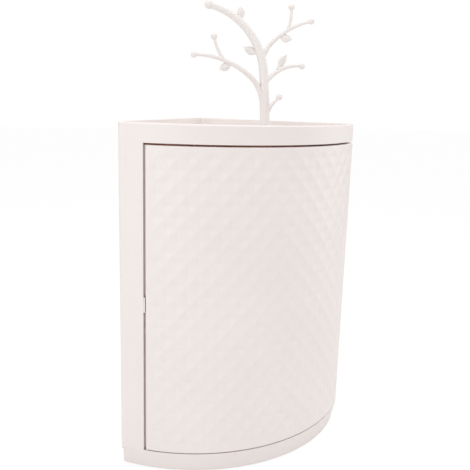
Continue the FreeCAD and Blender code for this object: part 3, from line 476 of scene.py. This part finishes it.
# Slim strips along the hubs, which keep light out of the case, and the small screws under the base.
HUB_RADIUS, WALL_BORE = 0.0080, 0.0083
HUB_CLEAR, HUB_ROOT = 0.00003, 0.0004
SEAL_REACH, SEAL_STEPS = 0.0092, 6
CEILING_DROP, CEILING_CLEAR = 0.0016, 0.0004
ROTOR_SEAL_SPAN, CASE_SEAL_SPAN = (125, 142), (-60, -34)
SCREW_REACH, SCREW_RADIUS, SCREW_HEIGHT = 0.1433, 0.0026, 0.0008
SCREW_BEARINGS = [math.radians(bearing) for bearing in (6, 45, 84)]
SCREW_SIDES, SCREW_CLEAR = 24, 0.00001
SCREW_PROFILE = ((1.0, 0.0), (1.0, 0.5), (0.93, 0.8), (0.80, 1.0))
CROSS_ARM, CROSS_HALF, CROSS_DEPTH = 0.55 * SCREW_RADIUS, 0.16 * SCREW_RADIUS, 0.0004


def seal_mesh(build, inner, outer, span, low, high):
    """A slim strip along a hub, over a span of bearings in degrees."""
    start, end = span
    bearings = [math.radians(start + (end - start) * k / SEAL_STEPS) for k in range(SEAL_STEPS + 1)]
    plan = [(inner, bearing) for bearing in bearings] + [(outer, bearing) for bearing in reversed(bearings)]
    prism(build, plan, low, high)


def rotor_seal_mesh(build):
    """The turning strip, which stands on the hubs beside the right wall's edge."""
    seal_mesh(build, HUB_RADIUS - HUB_ROOT, SEAL_REACH, ROTOR_SEAL_SPAN, DOOR_LOW[2],
              DOOR_HIGH[2] - CEILING_CLEAR)


def case_seal_mesh(build):
    """The fixed strip in the left wall's bore, which comes close to the hubs."""
    seal_mesh(build, HUB_RADIUS + HUB_CLEAR, WALL_BORE + WELD, CASE_SEAL_SPAN, BASE_HIGH[2],
              DOOR_HIGH[2] + CEILING_DROP)


def cross_outline():
    """The twelve corners of a cross recess, as one arm's three corners turned four times."""
    corners = [(CROSS_ARM, -CROSS_HALF), (CROSS_ARM, CROSS_HALF), (CROSS_HALF, CROSS_HALF)]
    outline = []
    for _ in range(4):
        outline += corners
        corners = [(-y, x) for x, y in corners]
    return outline


def ring_edges(build, ring):
    """The edges round a ring of points, made where they are missing."""
    pairs = [(ring[k], ring[(k + 1) % len(ring)]) for k in range(len(ring))]
    return [build.edges.get(pair) or build.edges.new(pair) for pair in pairs]


def screw_mesh(build):
    """Three small pan heads with cross recesses, flat side up against the bottom cover."""
    circle = [2 * math.pi * k / SCREW_SIDES for k in range(SCREW_SIDES)]
    cross = cross_outline()
    for bearing in SCREW_BEARINGS:
        middle = fan_point(SCREW_REACH, bearing, PLATE_BOTTOM + SCREW_CLEAR)
        rings = []
        for share, depth in SCREW_PROFILE:
            reach, drop = share * SCREW_RADIUS, depth * SCREW_HEIGHT
            places = [Vector((reach * math.cos(turn), reach * math.sin(turn), -drop)) for turn in circle]
            rings.append([build.verts.new(middle + place) for place in places])
        for first, second in zip(rings, rings[1:]):
            band_between(build, first, second)
        build.faces.new(list(reversed(rings[0])))
        mouth = [build.verts.new(middle + Vector((x, y, -SCREW_HEIGHT))) for x, y in cross]
        recess = [build.verts.new(middle + Vector((x, y, CROSS_DEPTH - SCREW_HEIGHT))) for x, y in cross]
        face_edges = ring_edges(build, rings[-1]) + ring_edges(build, mouth)
        bmesh.ops.triangle_fill(build, edges=face_edges, use_beauty=True)
        band_between(build, mouth, recess)
        build.faces.new(recess)


plinth_skin = new_piece("plinth_skin", plinth_mesh, "case", SHELL)
smooth(plinth_skin, SHARP_ANGLE)
new_piece("rotor_seal", rotor_seal_mesh, "rotor", SHELL)
new_piece("case_seal", case_seal_mesh, "case", SHELL)
smooth(new_piece("base_screws", screw_mesh, "case", STEEL), SHARP_ANGLE)


# Tree: smooth stems along the arcs of the solid ones, in millimetres, melted together where they meet.
TREE_TURN = math.radians(-15)
TREE_BASE = fan_point(0.0956, math.radians(59.4), COVER_TOP)
BUD, KNOB = 2.8, 3.8
BUD_SETBACK, BUD_TIP = 0.9, 0.02
STEM_SIDES = 32
STEM_STEP = 4.0
MELT_VOXEL, MELT_ROUNDS = 0.00035, 8


def stem_path(start, lean, arcs, thickness, swell):
    """Centre, direction and radius along a branch, ending in a round bud."""
    across, up, angle, radius = start[0], start[1], lean, thickness
    path = [(across, up, angle, radius)]
    for bend, swing, end_radius in arcs:
        pieces = max(2, int(math.ceil(abs(swing) / STEM_STEP)))
        side = math.copysign(1.0, swing)
        first_radius = radius
        for piece in range(pieces):
            before = math.radians(angle)
            angle += swing / pieces
            after = math.radians(angle)
            across += side * bend * (math.cos(before) - math.cos(after))
            up += side * bend * (math.sin(after) - math.sin(before))
            radius = first_radius + (end_radius - first_radius) * (piece + 1) / pieces
            path.append((across, up, angle, radius))
    slope = math.radians(angle)
    for polar in range(30, 181, 15):
        turned = math.radians(polar)
        along = swell * (BUD_SETBACK - math.cos(turned))
        path.append((across + along * math.sin(slope), up + along * math.cos(slope), angle,
                     max(swell * math.sin(turned), BUD_TIP * swell)))
    return path


def tree_point(across, aside, up, turn):
    """A point of the tree, in millimetres from its foot, moved to its place in the frame."""
    bearing = TREE_TURN + math.radians(turn)
    x = across * math.cos(bearing) - aside * math.sin(bearing)
    y = across * math.sin(bearing) + aside * math.cos(bearing)
    return TREE_BASE + Vector((x, y, up)) / 1000.0


def grow(build, start, lean, arcs, thickness, turn=0.0, swell=BUD):
    """Add one closed tube along a branch, whose arcs give bend radius, swing in degrees and end radius."""
    rings = []
    for across, up, angle, radius in stem_path(start, lean, arcs, thickness, swell):
        slope = math.radians(angle)
        ring = []
        for side in range(STEM_SIDES):
            around = 2 * math.pi * side / STEM_SIDES
            reach, aside = radius * math.sin(around), radius * math.cos(around)
            place = tree_point(across + reach * math.cos(slope), aside, up - reach * math.sin(slope), turn)
            ring.append(build.verts.new(place))
        rings.append(ring)
    for first, second in zip(rings, rings[1:]):
        band_between(build, first, second)
    build.faces.new(list(reversed(rings[0])))
    build.faces.new(rings[-1])


def main_stem_mesh(build):
    """The trunk's right half, which bows over to the left, and its four branches."""
    grow(build, (0.4, -0.5), -2, ((739, -4, 3.9), (60, -24, 3.6), (61, -46, 2.9)), 4.0, swell=KNOB)
    grow(build, (-4.6, 61), 14, ((32, 32, 1.9), (66, 30, 1.3)), 2.3, -17)
    grow(build, (16.4, 85.4), 20, ((45, -22, 1.2),), 1.5, -17)
    grow(build, (-1.5, 40.8), 38, ((42.5, 28, 1.7), (42.5, 26, 1.3)), 2.1, 17)
    grow(build, (1.2, 13.5), 16, ((30, 32, 1.3),), 1.9, -25)


def side_stem_mesh(build):
    """The trunk's left half, which bends away low, and its one branch."""
    grow(build, (-2.0, -0.5), 0, ((226, -6, 2.6), (34, -48, 2.2), (80, -20, 1.7), (76, -17, 1.3)), 2.7, 10)
    grow(build, (-38.6, 57.6), -46, ((37, 32, 1.2),), 1.5, 10)


def melt(piece):
    """Remesh a piece so that its tubes join in one skin, laid back on them and softened at the joints."""
    tubes = add_object("tubes", piece.data)
    remesh = piece.modifiers.new("melt", "REMESH")
    remesh.mode = "VOXEL"
    remesh.voxel_size = MELT_VOXEL
    cling = piece.modifiers.new("cling", "SHRINKWRAP")
    cling.target = tubes
    cling.wrap_method = "NEAREST_SURFACEPOINT"
    soften = piece.modifiers.new("soften", "SMOOTH")
    soften.factor = 0.5
    soften.iterations = MELT_ROUNDS
    depsgraph = bpy.context.evaluated_depsgraph_get()
    made = bpy.data.meshes.new_from_object(piece.evaluated_get(depsgraph))
    piece.modifiers.clear()
    bpy.data.objects.remove(tubes)
    piece.data = made


def stem_piece(name, mesh_builder, node):
    """One melted stem, which takes the place of a solid one."""
    piece = new_piece(name, mesh_builder, "case", TREE)
    melt(piece)
    dress(piece, TREE)
    smooth(piece)
    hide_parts(node)


# Leaves: small cupped blades on short stalks, also in millimetres.
LEAF_HALF, LEAF_THICK = 3.4, 0.62
STALK_SHARE, STALK_HALF = 0.14, 0.6
RIB_HEIGHT, RIB_SPREAD = 0.22, 0.18
CUP_RISE, TIP_FALL, CUP_SHARE = 0.5, 0.8, 0.6
LEAF_STEPS, LEAF_SPREAD = 16, 6
LEAF_MERGE = 0.00002


def leaf_place(share, offset, sign, length):
    """A place on a leaf's front or back: across, aside and along, by shares of its length and half width."""
    blade = max((share - STALK_SHARE) / (1.0 - STALK_SHARE), 0.0)
    bow = math.sin(math.pi * share)
    width = max(LEAF_HALF * math.sin(math.pi * blade ** 0.9) ** 0.9, STALK_HALF * min(1.0, 6.0 - 6.0 * share))
    thick = LEAF_THICK * math.sqrt(max(1.0 - offset * offset, 0.0)) * bow ** 0.4
    rib = RIB_HEIGHT * math.exp(-(offset / RIB_SPREAD) ** 2) * bow ** 0.5
    cup = CUP_RISE * offset * offset * width / LEAF_HALF - TIP_FALL * share * share
    return offset * width, sign * (thick + rib) + CUP_SHARE * cup, length * share


def leaf_piece(name, base, angle, length, turn=0.0):
    """A leaf with a raised midrib, standing on its branch at an angle from upright."""
    lean = math.radians(angle)

    def leaf_mesh(build):
        for sign in (1.0, -1.0):
            rows = []
            for step in range(LEAF_STEPS + 1):
                row = []
                for side in range(-LEAF_SPREAD, LEAF_SPREAD + 1):
                    x, y, z = leaf_place(step / LEAF_STEPS, side / LEAF_SPREAD, sign, length)
                    across = x * math.cos(lean) + z * math.sin(lean)
                    up = -x * math.sin(lean) + z * math.cos(lean)
                    row.append(build.verts.new(tree_point(base[0] + across, y, base[1] + up, turn)))
                rows.append(row)
            for first, second in zip(rows, rows[1:]):
                strip_between(build, first, second)
        bmesh.ops.remove_doubles(build, verts=build.verts, dist=LEAF_MERGE)
        rim = [edge for edge in build.edges if len(edge.link_faces) == 1]
        if rim:
            bmesh.ops.holes_fill(build, edges=rim, sides=0)

    smooth(new_piece(name, leaf_mesh, "case", TREE))


stem_piece("tree_main_smooth", main_stem_mesh, "tree_main_stem")
stem_piece("tree_side_smooth", side_stem_mesh, "tree_side_stem")
leaf_piece("leaf_top", (-23.4, 92.6), -12, 11.5)
leaf_piece("leaf_left", (-8.4, 64.5), -65, 14.6)
leaf_piece("leaf_right_low", (8.4, 79.9), 98, 12.3, -17)
leaf_piece("leaf_middle", (9.6, 52.9), 36, 16.5, 17)
leaf_piece("leaf_side", (-32.1, 55.6), -110, 13.0, 10)


# Camera: at the photograph's angle, fitted to the case's corners.
CAMERA_PLACE = Vector((-0.23625, -0.52420, 0.32062))
CAMERA_YAW, CAMERA_PITCH, CAMERA_ROLL = 0.4342, 0.2138, 0.0285
CAMERA_LENS, SENSOR_WIDTH = 47.80, 36.0


def place_camera():
    """Turn the camera by its yaw, pitch and roll, and make it the scene's own."""
    ahead = Vector((math.sin(CAMERA_YAW) * math.cos(CAMERA_PITCH),
                    math.cos(CAMERA_YAW) * math.cos(CAMERA_PITCH), -math.sin(CAMERA_PITCH)))
    level = Vector((math.cos(CAMERA_YAW), -math.sin(CAMERA_YAW), 0.0))
    upright = level.cross(ahead)
    right = level * math.cos(CAMERA_ROLL) + upright * math.sin(CAMERA_ROLL)
    up = upright * math.cos(CAMERA_ROLL) - level * math.sin(CAMERA_ROLL)
    data = bpy.data.cameras.new("camera")
    data.lens = CAMERA_LENS
    data.sensor_width = SENSOR_WIDTH
    camera = add_object("camera", data)
    turn = Matrix((right, up, -ahead)).transposed()
    camera.matrix_world = Matrix.Translation(CAMERA_PLACE) @ turn.to_4x4()
    bpy.context.scene.camera = camera


place_camera()


# Studio: a white floor that keeps the shadow, a white world, and broad soft lamps.
WORLD_LIGHT, WHITE = 0.64, 1.0
FLOOR_REACH, FLOOR_TONE = 6.0, 0.9
FLOOR_GLOW, FLOOR_GLOW_SHARE = 1.03, 0.9
WARMTH_REACH, WARMTH_BEARING, WARMTH_HEIGHT = 0.095, math.radians(38), 0.281
WARMTH_POWER, WARMTH_SIZE, WARMTH_TINT = 0.010, 0.002, (1.0, 0.42, 0.28)


def lamp(name, place, target, size, power):
    """A broad rectangle lamp that faces a target."""
    data = bpy.data.lights.new(name, "AREA")
    data.shape = "RECTANGLE"
    data.size, data.size_y = size
    data.energy = power
    light = add_object(name, data)
    light.location = place
    light.rotation_euler = (Vector(target) - Vector(place)).to_track_quat("-Z", "Y").to_euler()


def inner_warmth():
    """The little light that gets through pale mouldings and is warmed by them, inside the closed case."""
    data = bpy.data.lights.new("inner_warmth", "POINT")
    data.energy = WARMTH_POWER
    data.color = WARMTH_TINT
    data.shadow_soft_size = WARMTH_SIZE
    light = add_object("inner_warmth", data)
    light.location = fan_point(WARMTH_REACH, WARMTH_BEARING, WARMTH_HEIGHT)
    light.visible_camera = False
    light.visible_glossy = False


def white_world():
    """A world that lights softly, and is white to the camera, in glass and in gloss."""
    world = bpy.data.worlds.new("studio")
    bpy.context.scene.world = world
    world.use_nodes = True
    nodes, links = world.node_tree.nodes, world.node_tree.links
    paths = nodes.new("ShaderNodeLightPath")
    seen = paths.outputs["Is Camera Ray"]
    for ray in ("Is Transmission Ray", "Is Glossy Ray"):
        either = nodes.new("ShaderNodeMath")
        either.operation = "MAXIMUM"
        links.new(seen, either.inputs[0])
        links.new(paths.outputs[ray], either.inputs[1])
        seen = either.outputs[0]
    strength = nodes.new("ShaderNodeMapRange")
    strength.inputs["To Min"].default_value = WORLD_LIGHT
    strength.inputs["To Max"].default_value = WHITE
    links.new(seen, strength.inputs["Value"])
    background = nodes["Background"]
    background.inputs["Color"].default_value = (1.0, 1.0, 1.0, 1.0)
    links.new(strength.outputs["Result"], background.inputs["Strength"])


def floor_look():
    """Plain pale floor, which shows the camera mostly white and keeps a faint shadow."""
    material = bpy.data.materials.new("floor_white")
    material.use_nodes = True
    nodes, links = material.node_tree.nodes, material.node_tree.links
    plain = nodes["Principled BSDF"]
    plain.inputs["Base Color"].default_value = (FLOOR_TONE, FLOOR_TONE, FLOOR_TONE, 1.0)
    plain.inputs["Roughness"].default_value = 0.9
    plain.inputs["Specular IOR Level"].default_value = 0.1
    glow = nodes.new("ShaderNodeEmission")
    glow.inputs["Strength"].default_value = FLOOR_GLOW
    seen = nodes.new("ShaderNodeLightPath")
    share = nodes.new("ShaderNodeMath")
    share.operation = "MULTIPLY"
    share.inputs[1].default_value = FLOOR_GLOW_SHARE
    mix = nodes.new("ShaderNodeMixShader")
    links.new(seen.outputs["Is Camera Ray"], share.inputs[0])
    links.new(share.outputs[0], mix.inputs["Fac"])
    links.new(plain.outputs["BSDF"], mix.inputs[1])
    links.new(glow.outputs["Emission"], mix.inputs[2])
    links.new(mix.outputs["Shader"], nodes["Material Output"].inputs["Surface"])
    return material


lamp("left_soft", (-0.95, -0.55, 0.60), (0, 0, 0.15), (0.9, 1.2), 3.3)
lamp("right_soft", (1.05, -0.20, 0.50), (0, 0, 0.15), (0.8, 1.2), 3.0)
lamp("top_soft", (0.0, -0.10, 1.25), (0, 0, 0.1), (1.2, 1.0), 4.9)
lamp("front_fill", (-0.25, -1.4, 0.55), (0, 0, 0.16), (1.4, 1.0), 1.05)
inner_warmth()
white_world()

floor_mesh = bpy.data.meshes.new("floor")
floor_corners = [(x * FLOOR_REACH, y * FLOOR_REACH, 0) for x, y in ((-1, -1), (1, -1), (1, 1), (-1, 1))]
floor_mesh.from_pydata(floor_corners, [], [(0, 1, 2, 3)])
floor_mesh.materials.append(floor_look())
floor = add_object("floor", floor_mesh)

bpy.context.scene.view_settings.view_transform = "Standard"
